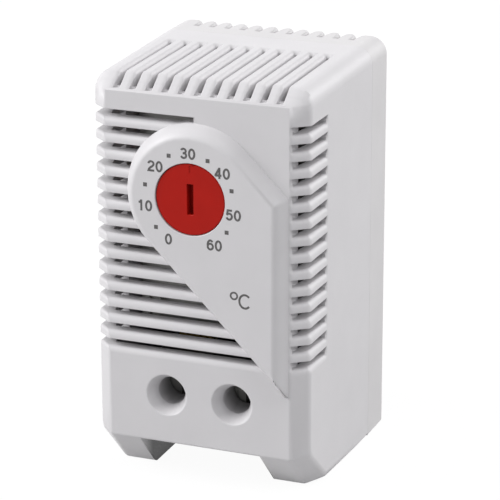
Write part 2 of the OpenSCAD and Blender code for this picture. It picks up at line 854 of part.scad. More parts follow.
// Bay for a cage, with its openings for the screw, the wire and the bar
module terminal_bay() {
    box_between([term_x - bay_half_w, block_front_y + block_wall, term_z - cage_h / 2 - free_gap],
        [term_x + bay_half_w, cage_back_y + free_gap, term_z + cage_h / 2 + free_gap]);
    rod_y(head_r + head_gap, block_front_y - over, block_front_y + block_wall + over, term_x, term_z);
    translate([term_x, wire_y, block_low_z - over])
        cylinder(r = block_hole_r, h = term_z - cage_h / 2 - block_low_z + over);
    box_between([term_x - bar_w / 2 - seat_gap, bus_y - seat_gap, term_z],
        [term_x + bar_w / 2 + seat_gap, bus_y + bar_t + seat_gap, block_top_z + over]);
}

module terminal_block() {
    color("dimgray") from_face() difference() {
        union() {
            box_between([-block_half_w, block_front_y, block_low_z],
                [block_half_w, block_back_y, block_top_z]);
            box_between([-block_half_w, block_back_y - over, block_low_z],
                [block_half_w, base_floor_y, block_low_z + block_tail_h]);
        }
        both_sides() terminal_bay();
    }
}

// Cage that its screw draws forwards, so that its back wall clamps the wire on the bar
module terminal_cage(x) {
    color("lightgray") from_face() difference() {
        box_between([x - cage_w / 2, cage_y, term_z - cage_h / 2],
            [x + cage_w / 2, cage_back_y, term_z + cage_h / 2]);
        box_between([x - cage_w / 2 + cage_t, cage_y + cage_front_t, term_z - cage_h / 2 - over],
            [x + cage_w / 2 - cage_t, cage_back_y - cage_t, term_z + cage_h / 2 + over]);
        rod_y(term_screw_r + run_gap, cage_y - over, cage_y + cage_front_t + over, x, term_z);
    }
}

module terminal_screw(x) {
    color("lightgray") from_face() difference() {
        union() {
            rod_y(head_r, head_y, head_y + head_t, x, term_z);
            rod_y(term_screw_r, head_y + head_t - thin, bus_y - tip_gap, x, term_z);
        }
        translate([x, head_y, term_z])
            cube([driver_slot_w, 2 * driver_slot_d, 2 * head_r + over], center = true);
    }
}

module terminal_cage_left() {
    terminal_cage(-term_x);
}

module terminal_cage_right() {
    terminal_cage(term_x);
}

module terminal_screw_left() {
    terminal_screw(-term_x);
}

module terminal_screw_right() {
    terminal_screw(term_x);
}

// Side view of the hook that reaches behind the rail's lower lip
module hook_outline() {
    polygon([[hook_y, latch_low_z], [back_y, latch_low_z], [back_y, rail_low_z],
        [hook_y + hook_d / 3, rail_low_z + hook_grip], [hook_y, rail_low_z + hook_grip]]);
}

// Sliding foot of the rail clip: guided plate, hook under the rail, and a tab to pull it down
module rail_latch() {
    latch_back_y = latch_y + latch_t;
    color("dimgray") from_face() difference() {
        union() {
            box_between([-latch_half_w, latch_y, latch_low_z], [latch_half_w, latch_lip_y, latch_top_z]);
            box_between([-neck_half_w, latch_y, latch_low_z], [neck_half_w, latch_back_y, latch_top_z]);
            box_between([-neck_half_w, latch_y, latch_low_z],
                [neck_half_w, back_y, rail_low_z - rail_play]);
            box_between([-neck_half_w / 2, latch_y, tab_low_z],
                [neck_half_w / 2, latch_back_y, latch_low_z + over]);
            translate([-neck_half_w, 0, 0]) rotate([90, 0, 90])
                linear_extrude(2 * neck_half_w) hook_outline();
        }
        box_between([-stop_half_w - slide_gap, latch_y - over, stop_z - slide_gap],
            [stop_half_w + slide_gap, latch_back_y + over, pocket_top_z]);
        box_between([-tab_slot_w / 2, latch_y - over, tab_low_z + tab_slot_z],
            [tab_slot_w / 2, latch_back_y + over, tab_low_z + tab_slot_z + tab_slot_h]);
    }
}

module latch_spring() {
    color("silver") from_face() translate([0, latch_lip_y, stop_z + stop_h + spring_end_gap])
        wound_spring(spring_r, latch_spring_l, spring_curls, spring_wire);
}

front_cover();
rear_base();
setting_knob();
knob_washer();
setting_spindle();
spindle_bush();
mechanism_frame();
frame_screws();
adjusting_lever();
lever_pin();
lever_spring();
bimetal_strip();
strip_rivets();
moving_contact();
armature();
snap_magnet();
fixed_contact();
fixed_contact_bar();
bimetal_bar();
terminal_block();
terminal_cage_left();
terminal_cage_right();
terminal_screw_left();
terminal_screw_right();
rail_latch();
latch_spring();
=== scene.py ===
import json
import math

import bmesh
import bpy
from mathutils import Matrix, Vector


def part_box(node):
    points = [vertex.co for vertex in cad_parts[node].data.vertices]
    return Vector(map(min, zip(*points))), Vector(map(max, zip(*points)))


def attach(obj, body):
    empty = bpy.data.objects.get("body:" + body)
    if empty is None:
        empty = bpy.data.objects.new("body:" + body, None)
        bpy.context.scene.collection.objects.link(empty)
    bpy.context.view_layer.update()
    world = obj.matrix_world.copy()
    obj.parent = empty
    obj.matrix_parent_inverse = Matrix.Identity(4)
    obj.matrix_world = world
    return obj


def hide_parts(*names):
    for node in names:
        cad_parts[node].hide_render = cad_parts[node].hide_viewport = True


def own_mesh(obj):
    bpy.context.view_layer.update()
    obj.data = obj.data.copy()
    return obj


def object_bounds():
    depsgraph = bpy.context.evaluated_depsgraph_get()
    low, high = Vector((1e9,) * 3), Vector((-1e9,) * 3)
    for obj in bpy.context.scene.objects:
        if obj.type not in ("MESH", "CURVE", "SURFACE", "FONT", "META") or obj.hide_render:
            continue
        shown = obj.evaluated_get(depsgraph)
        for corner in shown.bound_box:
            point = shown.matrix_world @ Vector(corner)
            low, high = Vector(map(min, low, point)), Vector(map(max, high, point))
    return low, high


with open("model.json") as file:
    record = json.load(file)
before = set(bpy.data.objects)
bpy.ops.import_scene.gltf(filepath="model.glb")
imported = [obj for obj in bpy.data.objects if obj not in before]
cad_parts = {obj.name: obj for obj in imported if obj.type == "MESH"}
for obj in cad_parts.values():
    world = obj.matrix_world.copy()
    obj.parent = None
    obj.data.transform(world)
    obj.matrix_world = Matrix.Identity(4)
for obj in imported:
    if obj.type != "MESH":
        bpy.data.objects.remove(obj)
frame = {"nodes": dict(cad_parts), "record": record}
cad_low, cad_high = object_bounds()
MM = 0.001
scene = bpy.context.scene
front_low, front_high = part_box("front_cover")
PLATE_RISE_MM = 2.2
FACE_Y = front_low.y + PLATE_RISE_MM * MM
FORWARDS = Vector((0, -1, 0))
UPWARDS = Vector((0, 0, 1))
print("case box in mm:", [round(v / MM, 2) for v in cad_high - cad_low])

# %% [markdown]
# A few helpers are used all through: they put a thing into the scene, turn a finished bmesh into an object,
# and gather parts of a mesh.
# %% Mesh helpers
def link(thing):
    scene.collection.objects.link(thing)
    return thing


def object_from(shape, name, material):
    """A linked object from a bmesh, with one material."""
    mesh = bpy.data.meshes.new(name)
    shape.to_mesh(mesh)
    shape.free()
    mesh.materials.append(material)
    return link(bpy.data.objects.new(name, mesh))


def whole(shape):
    """Every part of a bmesh, as the operators take it."""
    return shape.verts[:] + shape.edges[:] + shape.faces[:]


def each_once(things):
    """The things without repeats and in a fixed order, so that every run gives the same mesh."""
    return list(dict.fromkeys(things))


# %% [markdown]
# The camera is made first, since everything is judged through it. A long lens from a third of a metre
# looks down by about nineteen degrees and sees the case from its right front corner. The lens is written
# as a focal length in pixels of a 500 pixel frame, and turned into Blender's millimetres of sensor.
# %% Camera
FRAME_PX = 500
FOCAL_PX = 2530.0
SENSOR_MM = 36.0
CAMERA_AZIMUTH = 0.378
CAMERA_ELEVATION = 0.328
CAMERA_ROLL = -0.003
CAMERA_DISTANCE = 365.73 * MM
CAMERA_TARGET = Vector((1.92, -4.4, 31.16)) * MM
NEAR_CLIP = 10 * MM


def direction(azimuth, elevation):
    """The way out from the object, turned right from the front and then up, in radians."""
    return Vector((math.sin(azimuth) * math.cos(elevation), -math.cos(azimuth) * math.cos(elevation),
                   math.sin(elevation)))


def add_camera():
    back = direction(CAMERA_AZIMUTH, CAMERA_ELEVATION)
    level = Vector((math.cos(CAMERA_AZIMUTH), math.sin(CAMERA_AZIMUTH), 0))
    upright = back.cross(level)
    right = level * math.cos(CAMERA_ROLL) + upright * math.sin(CAMERA_ROLL)
    up = upright * math.cos(CAMERA_ROLL) - level * math.sin(CAMERA_ROLL)
    turn = Matrix((right, up, back)).transposed().to_4x4()
    data = bpy.data.cameras.new("studio_camera")
    data.sensor_width = SENSOR_MM
    data.lens = FOCAL_PX * SENSOR_MM / FRAME_PX
    data.clip_start = NEAR_CLIP
    camera = link(bpy.data.objects.new("studio_camera", data))
    camera.matrix_world = Matrix.Translation(CAMERA_TARGET + back * CAMERA_DISTANCE) @ turn
    scene.camera = camera
    return camera


camera = add_camera()
print("lens in mm:", round(camera.data.lens, 1))

# %% [markdown]
# Finishes are node materials that read object coordinates, so they sit still on the piece from every side.
# A colour is written as an eight-bit value, as a picture has it, and turned into light here, once.
# %% Colour and node helpers
NOISE_MIDDLE = (0.3, 0.7)


def srgb(red, green, blue):
    def to_light(value):
        share = value / 255
        return share / 12.92 if share <= 0.04045 else ((share + 0.055) / 1.055) ** 2.4
    return (to_light(red), to_light(green), to_light(blue), 1.0)


def times(colour, factor):
    return tuple(min(v * factor, 1.0) for v in colour[:3]) + (1.0,)


def new_finish(name, roughness, metallic=0.0, **sockets):
    material = bpy.data.materials.new(name)
    material.use_nodes = True
    shader = material.node_tree.nodes["Principled BSDF"]
    shader.inputs["Roughness"].default_value = roughness
    shader.inputs["Metallic"].default_value = metallic
    for socket, value in sockets.items():
        shader.inputs[socket.replace("_", " ")].default_value = value
    return material, material.node_tree, shader


def calculate(tree, operation, *values):
    """A math node's result. Each value is a number or another node's output."""
    node = tree.nodes.new("ShaderNodeMath")
    node.operation = operation
    for socket, value in zip(node.inputs, values):
        if isinstance(value, (int, float)):
            socket.default_value = value
        else:
            tree.links.new(value, socket)
    return node.outputs[0]


def carried(tree, value, limits, new_limits):
    """A value carried from one range onto another, and held at its ends."""
    span = tree.nodes.new("ShaderNodeMapRange")
    for socket, limit in zip(("From Min", "From Max", "To Min", "To Max"), (*limits, *new_limits)):
        span.inputs[socket].default_value = limit
    tree.links.new(value, span.inputs["Value"])
    return span.outputs["Result"]


def object_noise(tree, size_mm, detail=3.0, stretch=(1, 1, 1)):
    """A noise whose grains are about size_mm across, drawn out along an axis by a small stretch value."""
    coordinates = tree.nodes.new("ShaderNodeTexCoord")
    mapping = tree.nodes.new("ShaderNodeMapping")
    noise = tree.nodes.new("ShaderNodeTexNoise")
    mapping.inputs["Scale"].default_value = stretch
    noise.inputs["Scale"].default_value = 1 / (size_mm * MM)
    noise.inputs["Detail"].default_value = detail
    tree.links.new(coordinates.outputs["Object"], mapping.inputs["Vector"])
    tree.links.new(mapping.outputs["Vector"], noise.inputs["Vector"])
    return noise.outputs["Fac"]


def two_tones(tree, factor, first, second):
    """A mix of two colours, each a value or another node's output."""
    mix = tree.nodes.new("ShaderNodeMix")
    mix.data_type = "RGBA"
    for socket, colour in (("A", first), ("B", second)):
        if isinstance(colour, tuple):
            mix.inputs[socket].default_value = colour
        else:
            tree.links.new(colour, mix.inputs[socket])
    tree.links.new(factor, mix.inputs["Factor"])
    return mix.outputs["Result"]


def add_bump(tree, shader, height, depth_mm):
    bump = tree.nodes.new("ShaderNodeBump")
    bump.inputs["Strength"].default_value = 1.0
    bump.inputs["Distance"].default_value = depth_mm * MM
    tree.links.new(height, bump.inputs["Height"])
    tree.links.new(bump.outputs["Normal"], shader.inputs["Normal"])


print("middle grey in light:", round(srgb(128, 128, 128)[0], 3))

# %% [markdown]
# Moulded plastic is never one flat colour. The tool is spark-eroded, which leaves a very fine even grain,
# and the pigment drifts a little over a few millimetres. Both are noises: one fine and shallow for the
# bump and gloss, one broad and faint for the colour.
#
# A closed case full of parts is also darker inside than two empty shells are, because little light gets in.
# That shade is painted: the case's colour falls off with depth below its outline, and more steeply in the
# notch between the feet, where it is painted shadow.
# %% Moulded plastics
PAINTED_SHADE_BLACK = (0.0, 0.0, 0.0, 1.0)
# Painted shade: where it starts and ends below the outline, and how dark it gets in the body and in the
# notch.
SHADE_FROM_MM = 1.2
BODY_SHADE_TO_MM, BODY_PAINTED_SHADE = 7.0, 0.3
NOTCH_SHADE_TO_MM, NOTCH_PAINTED_SHADE = 4.4, 0.05
NOTCH_TOP_MM, NOTCH_HALF_MM = 6.6, 9.4
ROUGHNESS_SPREAD = 0.06


def painted_inner_shade(tree):
    """A painted-shade factor that is one on the outer skin and falls with depth below the case's outline."""
    def least(first, second):
        return calculate(tree, "MINIMUM", first, second)

    def minus(first, second):
        return calculate(tree, "SUBTRACT", first, second)

    def falling(where, to_mm, tone):
        inside = calculate(tree, "MULTIPLY", depth, where)
        return carried(tree, inside, (SHADE_FROM_MM * MM, to_mm * MM), (1.0, tone))

    place = tree.nodes.new("ShaderNodeSeparateXYZ")
    coordinates = tree.nodes.new("ShaderNodeTexCoord")
    tree.links.new(coordinates.outputs["Object"], place.inputs[0])
    x, y, z = place.outputs
    sideways = calculate(tree, "ABSOLUTE", x)
    depth = least(least(minus(y, FACE_Y), minus(cad_high.x, sideways)), minus(cad_high.z, z))
    in_body = calculate(tree, "GREATER_THAN", z, NOTCH_TOP_MM * MM)
    in_notch = calculate(tree, "MULTIPLY", minus(1.0, in_body),
                         calculate(tree, "LESS_THAN", sideways, NOTCH_HALF_MM * MM))
    return calculate(tree, "MULTIPLY", falling(in_body, BODY_SHADE_TO_MM, BODY_PAINTED_SHADE),
                     falling(in_notch, NOTCH_SHADE_TO_MM, NOTCH_PAINTED_SHADE))


def moulded_plastic(name, colour, drift, roughness, grain_mm, grain_depth_mm, drift_mm=7.0, shine=0.4,
                    with_painted_shade=False):
    material, tree, shader = new_finish(name, roughness, IOR=1.5, Specular_IOR_Level=shine)
    broad = carried(tree, object_noise(tree, drift_mm), NOISE_MIDDLE, (0, 1))
    colour_out = two_tones(tree, broad, times(colour, 1 - drift), times(colour, 1 + drift))
    # Painted shade: the colour is mixed towards black with depth below the case's outline.
    if with_painted_shade:
        colour_out = two_tones(tree, painted_inner_shade(tree), PAINTED_SHADE_BLACK, colour_out)
    tree.links.new(colour_out, shader.inputs["Base Color"])
    grain = object_noise(tree, grain_mm)
    gloss = carried(tree, grain, NOISE_MIDDLE, (roughness - ROUGHNESS_SPREAD, roughness + ROUGHNESS_SPREAD))
    tree.links.new(gloss, shader.inputs["Roughness"])
    add_bump(tree, shader, grain, grain_depth_mm)
    return material


# The case's plastic carries painted shade inside the case and painted shadow in the notch between the feet.
case_plastic = moulded_plastic("case_plastic", srgb(207, 205, 207), 0.018, 0.46, 0.22, 0.006, with_painted_shade=True)
base_plastic = moulded_plastic("base_plastic", srgb(206, 204, 205), 0.02, 0.50, 0.22, 0.006)
knob_plastic = moulded_plastic("knob_plastic", srgb(168, 22, 12), 0.04, 0.4, 0.18, 0.004, 3.0, shine=0.15)
clip_plastic = moulded_plastic("clip_plastic", srgb(46, 46, 48), 0.08, 0.42, 0.2, 0.005)
block_plastic = moulded_plastic("block_plastic", srgb(52, 51, 50), 0.1, 0.55, 0.15, 0.01)
ferrite = moulded_plastic("ferrite", srgb(60, 60, 62), 0.12, 0.6, 0.1, 0.012)
print("plastics:", [m.name for m in bpy.data.materials])

# %% [markdown]
# The inner metal is plated or rolled sheet. Rolling leaves lines along one way of the sheet, so the same
# noise is drawn out along one axis, and it moves the gloss more than the colour.
# %% Metals
METAL_BUMP_MM = 0.003
DULLER, BRIGHTER = 0.1, 0.08


def worked_metal(name, colour, roughness, grain_mm, stretch, contrast=0.08):
    material, tree, shader = new_finish(name, roughness, metallic=1.0)
    grain = object_noise(tree, grain_mm, stretch=stretch)
    tone = carried(tree, grain, NOISE_MIDDLE, (0, 1))
    tree.links.new(two_tones(tree, tone, times(colour, 1 - contrast), colour), shader.inputs["Base Color"])
    gloss = carried(tree, grain, NOISE_MIDDLE, (roughness - BRIGHTER, roughness + DULLER))
    tree.links.new(gloss, shader.inputs["Roughness"])
    add_bump(tree, shader, grain, METAL_BUMP_MM)
    return material


# The plated steel is set darker than fresh plating: partly its own dull colour, partly painted shade for the
# parts that sit deep inside the case.
plated_steel = worked_metal("plated_steel", srgb(150, 149, 147), 0.34, 0.12, (1, 1, 0.08))
spring_steel = worked_metal("spring_steel", srgb(172, 172, 171), 0.26, 0.1, (1, 1, 0.3))
plain_iron = worked_metal("plain_iron", srgb(146, 146, 148), 0.45, 0.15, (1, 1, 0.5))
bimetal_sheet = worked_metal("bimetal_sheet", srgb(196, 174, 140), 0.32, 0.1, (1, 1, 0.06))
contact_silver = worked_metal("contact_silver", srgb(225, 223, 218), 0.22, 0.2, (1, 1, 1), 0.04)
turned_brass = worked_metal("turned_brass", srgb(212, 178, 106), 0.28, 0.1, (0.15, 1, 1))
print("finishes in all:", len(bpy.data.materials))

# %% [markdown]
# The printed scale is pad-printed ink, a dull dark grey that has come out slightly thinner in patches.
# %% Ink
INK_ROUGHNESS = 0.62
THIN_INK = 1.5
PATCH_MM, PATCH_RANGE = 0.25, (-0.6, 1)


def print_ink(name, colour):
    material, tree, shader = new_finish(name, INK_ROUGHNESS)
    patches = carried(tree, object_noise(tree, PATCH_MM, detail=4), NOISE_MIDDLE, PATCH_RANGE)
    tree.links.new(two_tones(tree, patches, colour, times(colour, THIN_INK)), shader.inputs["Base Color"])
    return material


scale_ink = print_ink("scale_ink", srgb(82, 80, 80))
print("ink:", scale_ink.name)

# %% [markdown]
# The case shells arrive with knife-sharp edges. A mould can't make those, and light needs a small radius
# to catch on. A copy of the mesh has its loose triangles merged and its flat faces dissolved back into
# whole ones, so that only real edges are left. Each sharp edge that stands outwards is then given a width
# of its own, written as a weight, and one Bevel modifier rounds them all, so that a broad rounding runs
# cleanly into a narrow one. Hollow corners stay as they are, but are marked sharp for the shading.
# %% Soft edges
WELD = 0.002 * MM
WIDEST_MM = 0.95
FLAT_DEG = 1.3
SHARP_DEG = 32.0
CREASE_DEG = 21.0


def whole_faces(shape):
    """Merges loose triangles and dissolves flat neighbours into one face."""
    bmesh.ops.remove_doubles(shape, verts=shape.verts, dist=WELD)
    bmesh.ops.dissolve_degenerate(shape, edges=shape.edges, dist=WELD)
    bmesh.ops.dissolve_limit(shape, angle_limit=math.radians(FLAT_DEG), verts=shape.verts, edges=shape.edges,
                             use_dissolve_boundaries=False, delimit={"NORMAL", "SEAM"})


def copy_of(node):
    shape = bmesh.new()
    shape.from_mesh(frame["nodes"][node].data)
    whole_faces(shape)
    return shape


def soft_piece(shape, name, material, width_of, segments=3, slide=True):
    """An object from a bmesh, each outward edge rounded by the width in mm that width_of gives for it."""
    weights = shape.edges.layers.float.new("bevel_weight_edge")
    for edge in shape.edges:
        angle = edge.calc_face_angle(0)
        middle = (edge.verts[0].co + edge.verts[1].co) / 2
        normals = [face.normal for face in edge.link_faces]
        width = width_of(middle, normals) if angle > math.radians(SHARP_DEG) and edge.is_convex else 0
        edge[weights] = width / WIDEST_MM
        edge.smooth = angle < math.radians(CREASE_DEG) or width > 0
    for face in shape.faces:
        face.smooth = True
    piece = object_from(shape, name, material)
    rounding = piece.modifiers.new("rounding", "BEVEL")
    rounding.limit_method = "WEIGHT"
    rounding.width = WIDEST_MM * MM
    rounding.segments = segments
    rounding.use_clamp_overlap = False
    rounding.loop_slide = slide
    flat_first = piece.modifiers.new("flat_faces_first", "WEIGHTED_NORMAL")
    flat_first.keep_sharp = True
    return piece


def stand_for(piece, node, body):
    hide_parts(node)
    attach(piece, body)
    print(piece.name, "faces:", len(piece.data.polygons))


# %% [markdown]
# The cover is the piece that is looked at most. The dial plate stands on its front, and the vent slots run
# into the plate's outline. Rounding those crossings would tear them, so the copy is cut at the front face:
# one half becomes a plain shell with its slots, the other the raised plate, and the cuts are closed.
#
# The shell's large faces have holes in them, and a rounding beside a hole can leave a sliver. Three level
# cuts split those faces: one within a rib, one below the vents and one through the funnels. Edges too short
# for any rounding are closed up.
# %% Cut the cover at its front face
FLAT_ON = 0.99
SKIRT_MM = 1.0
TINY_MM = 0.2
TINY_BEHIND_FACE_MM, TINY_BESIDE_MIDDLE_MM, TINY_ABOVE_MM = 2.5, 2, 25
VENTS_FROM = front_low.z + 18 * MM
RIB_BY_THE_KNOB = front_low.z + 45.24 * MM


def middle_height(node):
    """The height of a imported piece's middle."""
    low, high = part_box(node)
    return (low.z + high.z) / 2


def split_across(shape, heights):
    """Cuts all faces level at some heights, so that no face has a hole in it, and makes them whole again."""
    for height in heights:
        cut = bmesh.ops.bisect_plane(shape, geom=whole(shape), dist=WELD, plane_co=UPWARDS * height,
                                     plane_no=UPWARDS)["geom_cut"]
        for part in cut:
            if isinstance(part, bmesh.types.BMEdge):
                part.seam = True
    whole_faces(shape)


def merge_tiny_edges(shape):
    """Joins the ends of very short edges on the outer skin, which no rounding could pass."""
    def on_front_skin(place):
        return (place.y < FACE_Y + TINY_BEHIND_FACE_MM * MM and abs(place.x) > TINY_BESIDE_MIDDLE_MM * MM
                and place.z > TINY_ABOVE_MM * MM)

    tiny = [edge for edge in shape.edges if edge.calc_length() < TINY_MM * MM
            and all(on_front_skin(vertex.co) for vertex in edge.verts)]
    ends = each_once(vertex for edge in tiny for vertex in edge.verts)
    bmesh.ops.remove_doubles(shape, verts=ends, dist=TINY_MM * MM)
    bmesh.ops.dissolve_degenerate(shape, edges=shape.edges, dist=WELD)
    print("tiny edges merged:", len(tiny))


def add_skirt(shape):
    """Lengthens the plate backwards, so that it stands a little inside the shell."""
    under = [face for face in shape.faces
             if face.normal.y > FLAT_ON and abs(face.verts[0].co.y - FACE_Y) < WELD]
    skirt = bmesh.ops.extrude_face_region(shape, geom=under)["geom"]
    lowered = [part for part in skirt if isinstance(part, bmesh.types.BMVert)]
    bmesh.ops.translate(shape, verts=lowered, vec=-FORWARDS * SKIRT_MM * MM)
    bmesh.ops.delete(shape, geom=under, context="FACES")


def cut_at_face(node, keep_front):
    """One side of a node's copy, cut at the front face and closed there."""
    shape = copy_of(node)
    bmesh.ops.bisect_plane(shape, geom=whole(shape), dist=WELD, plane_co=Vector((0, FACE_Y, 0)),
                           plane_no=FORWARDS, clear_outer=not keep_front, clear_inner=keep_front)
    if keep_front:
        flat = [face for face in shape.faces if all(abs(v.co.y - FACE_Y) < WELD for v in face.verts)]
        bmesh.ops.delete(shape, geom=flat, context="FACES")
    rims = [edge for edge in shape.edges if edge.is_boundary]
    bmesh.ops.triangle_fill(shape, edges=rims, use_beauty=True, use_dissolve=False,
                            normal=-FORWARDS if keep_front else FORWARDS)
    bmesh.ops.recalc_face_normals(shape, faces=shape.faces)
    whole_faces(shape)
    if keep_front:
        add_skirt(shape)
    else:
        split_across(shape, [RIB_BY_THE_KNOB, VENTS_FROM, middle_height("terminal_screw_left")])
        merge_tiny_edges(shape)
    open_edges = [edge for edge in shape.edges if not edge.is_manifold]
    print("cut", node, "keeps", len(shape.faces), "faces, open edges:", len(open_edges))
    return shape


# %% [markdown]
# Which edges are round, and how round, is what makes the vents read as moulded ribs. Each rib has a full
# round shoulder on the side that faces up, or right on the top of the case, and a nearly sharp one on the
# other side. Edges inside the case stay as they are, because nobody sees them.
#
# An edge is known by its faces: those that lie on the case's skin, and those that are walls of a slot. Which
# way a face looks is read from its normal, by how much of it points along an axis.
# %% Widths of the cover's edges
SQUARE_ON = 0.9
BROW_FROM, TOP_FROM, LEFT_FROM = 0.4, 0.5, 0.3
SKIN_MM = 1.0
PARTING_LINE_MM = 0.04
BROW_LINE_MM = 0.16
FRONT_EDGE_MM = 0.3
OUTER_EDGE_MM = 0.55
FUNNEL_RIM_MM = 0.15
LEDGE_MM = 0.1
RIB_BACK_MM = 0.14
RIB_SHOULDER_MM = 0.9
LEFT_SHOULDER_MM = 0.45
TOP_SHOULDER_MM = 0.65
TOP_BACK_MM = 0.2
SLOT_END_MM = 0.35
OTHER_SLOT_EDGE_MM = 0.3
LEDGE_FROM = front_high.z - 4 * MM


def cover_widths(corners):
    """A function that tells how wide an edge of the cover is rounded, in mm."""
    def on_skin(normal, middle):
        furthest = max(normal.dot(corner) for corner in corners)
        return normal.dot(middle) > furthest - SKIN_MM * MM

    def outer_width(skin):
        if any(normal.y < -SQUARE_ON for normal in skin):
            return BROW_LINE_MM if any(normal.z > BROW_FROM for normal in skin) else FRONT_EDGE_MM
        return OUTER_EDGE_MM

    def slot_width(skin, wall, height):
        on_top = skin.z > TOP_FROM
        if abs(wall.z) > SQUARE_ON:
            if height > LEDGE_FROM:
                return LEDGE_MM
            if wall.z < 0:
                return RIB_BACK_MM
            return LEFT_SHOULDER_MM if skin.x < -LEFT_FROM else RIB_SHOULDER_MM
        if abs(wall.x) > SQUARE_ON and on_top:
            return TOP_SHOULDER_MM if wall.x > 0 else TOP_BACK_MM
        if wall.y < -SQUARE_ON:
            return TOP_SHOULDER_MM if on_top else SLOT_END_MM
        return OTHER_SLOT_EDGE_MM

    def width_of(middle, normals):
        skin = [normal for normal in normals if on_skin(normal, middle)]
        walls = [normal for normal in normals if not on_skin(normal, middle)]
        if not skin:
            return 0
        if any(normal.y > SQUARE_ON for normal in normals):
            return PARTING_LINE_MM
        if not walls:
            return outer_width(skin)
        if middle.z < VENTS_FROM:
            return FUNNEL_RIM_MM
        return slot_width(skin[0], walls[0], middle.z)
    return width_of


shell = cut_at_face("front_cover", keep_front=False)
shell_corners = [vertex.co.copy() for vertex in shell.verts]
cover = soft_piece(shell, "cover_shell", case_plastic, cover_widths(shell_corners), segments=5, slide=False)
stand_for(cover, "front_cover", "case")

# %% [markdown]
# The plate is the other half. The mitres at its corners are soft, its rim and that of the knob's hole are
# only broken, and the edges at the cut lie inside the shell and stay sharp.
# %% Dial plate
PLATE_RIM_MM = 0.1
PLATE_MITRE_MM = 0.3
BACK_FROM = 0.5
AT_CUT_MM = 0.01


def plate_width(middle, normals):
    if any(normal.y > BACK_FROM for normal in normals) or middle.y > FACE_Y - AT_CUT_MM * MM:
        return 0
    return PLATE_RIM_MM if any(normal.y < -FLAT_ON for normal in normals) else PLATE_MITRE_MM


plate = soft_piece(cut_at_face("front_cover", keep_front=True), "dial_plate", case_plastic, plate_width)
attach(plate, "case")

# %% [markdown]
# The base is rounded in the same way. Its slots are cut through the back edge, where both shoulders of each
# rib are round, and its edge against the cover is only broken, so that the joint shows as a hairline.
# %% Base
base_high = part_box("rear_base")[1]
PARTING_Y = front_high.y
PARTING_BAND_MM = 0.1
BASE_INSIDE_MM, BASE_INSIDE_DEPTH_MM = 3, 5
UPPER_SLOTS_MM = 7.2
BACK_RIB_MM = 0.58
BASE_EDGE_MM = 0.25


def base_width(middle, normals):
    if any(normal.y < -SQUARE_ON for normal in normals) or middle.y < PARTING_Y:
        return PARTING_LINE_MM if abs(middle.y - PARTING_Y) < PARTING_BAND_MM * MM else 0
    if abs(middle.x) < base_high.x - BASE_INSIDE_MM * MM and middle.y < PARTING_Y + BASE_INSIDE_DEPTH_MM * MM:
        return 0
    upper_slot = middle.z > base_high.z - UPPER_SLOTS_MM * MM
    if upper_slot and any(abs(normal.x) > SQUARE_ON for normal in normals):
        return BACK_RIB_MM
    return BASE_EDGE_MM


base = soft_piece(copy_of("rear_base"), "base_shell", base_plastic, base_width)
stand_for(base, "rear_base", "case")

# %% [markdown]
# The knob is flush with the plate. Its rim, its screwdriver slot and the fine pointer mark catch the light
# only if their edges are slightly broken. The clip's latch is rounded all over.
# %% Knob and clip
knob_low, knob_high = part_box("setting_knob")
knob_axis = (knob_low + knob_high) / 2
KNOB_RIM_FROM_MM, KNOB_RIM_MM = 5.0, 0.22
KNOB_SLOT_TO_MM, KNOB_SLOT_MM = 2.5, 0.07
LATCH_EDGE_MM = 0.2


def knob_width(middle, normals):
    from_axis = math.hypot(middle.x - knob_axis.x, middle.z - knob_axis.z)
    if from_axis > KNOB_RIM_FROM_MM * MM:
        return KNOB_RIM_MM
    return KNOB_SLOT_MM if from_axis < KNOB_SLOT_TO_MM * MM else 0


knob = soft_piece(copy_of("setting_knob"), "dial_knob", knob_plastic, knob_width)
stand_for(knob, "setting_knob", "knob")
latch = soft_piece(copy_of("rail_latch"), "clip_latch", clip_plastic, lambda middle, normals: LATCH_EDGE_MM)
stand_for(latch, "rail_latch", "latch")

# %% [markdown]
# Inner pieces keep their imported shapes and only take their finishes. They show as glints behind the vents.
# %% Finishes of the inner pieces
FINISH_OF_SLOT = {
    "case_grey": case_plastic, "base_grey": base_plastic, "knob_red": knob_plastic,
    "latch_black": clip_plastic, "block_black": block_plastic, "plated_steel": plated_steel,
    "spring_steel": spring_steel, "plain_iron": plain_iron, "magnet_black": ferrite,
    "bimetal": bimetal_sheet, "contact_silver": contact_silver, "brass": turned_brass,
}
for part in frame["record"]["subparts"]:
    node = frame["nodes"][part["node"]]
    node.data.materials.clear()
    node.data.materials.append(FINISH_OF_SLOT[part["material_slot"]])

# %% [markdown]
# The clip's spring stands on a stop in the base and holds the latch up, so it gets shorter when the latch is
# pulled down. A copy of it, with a mesh of its own, rides on the latch in its place; its shape stays as
# imported.
# %% Clip spring
coil = link(bpy.data.objects.new("clip_spring", frame["nodes"]["latch_spring"].data.copy()))
stand_for(coil, "latch_spring", "latch")
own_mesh(coil)

# %% [markdown]
# The scale is drawn, not set in a font. Each figure is one to three pen lines on a grid that is one figure
# high. A line becomes a flat ribbon, mitred at its corners, and two hundredths of a millimetre thick, as
# pad-printing is.
# %% Figures as pen lines
INK_MM = 0.01
LAYER_SHARE = 0.2
HALF_W, HALF_H = 0.24, 0.41
ADVANCE = 0.75
SAME_POINT = 1e-6
SHARPEST_MITRE = 0.5


def arc(centre, radii, from_deg, to_deg, steps=14):
    """Points on an ellipse, counted from the right and turning left for rising angles."""
    angles = [math.radians(from_deg + (to_deg - from_deg) * i / steps) for i in range(steps + 1)]
    return [(centre[0] + radii[0] * math.cos(a), centre[1] + radii[1] * math.sin(a)) for a in angles]


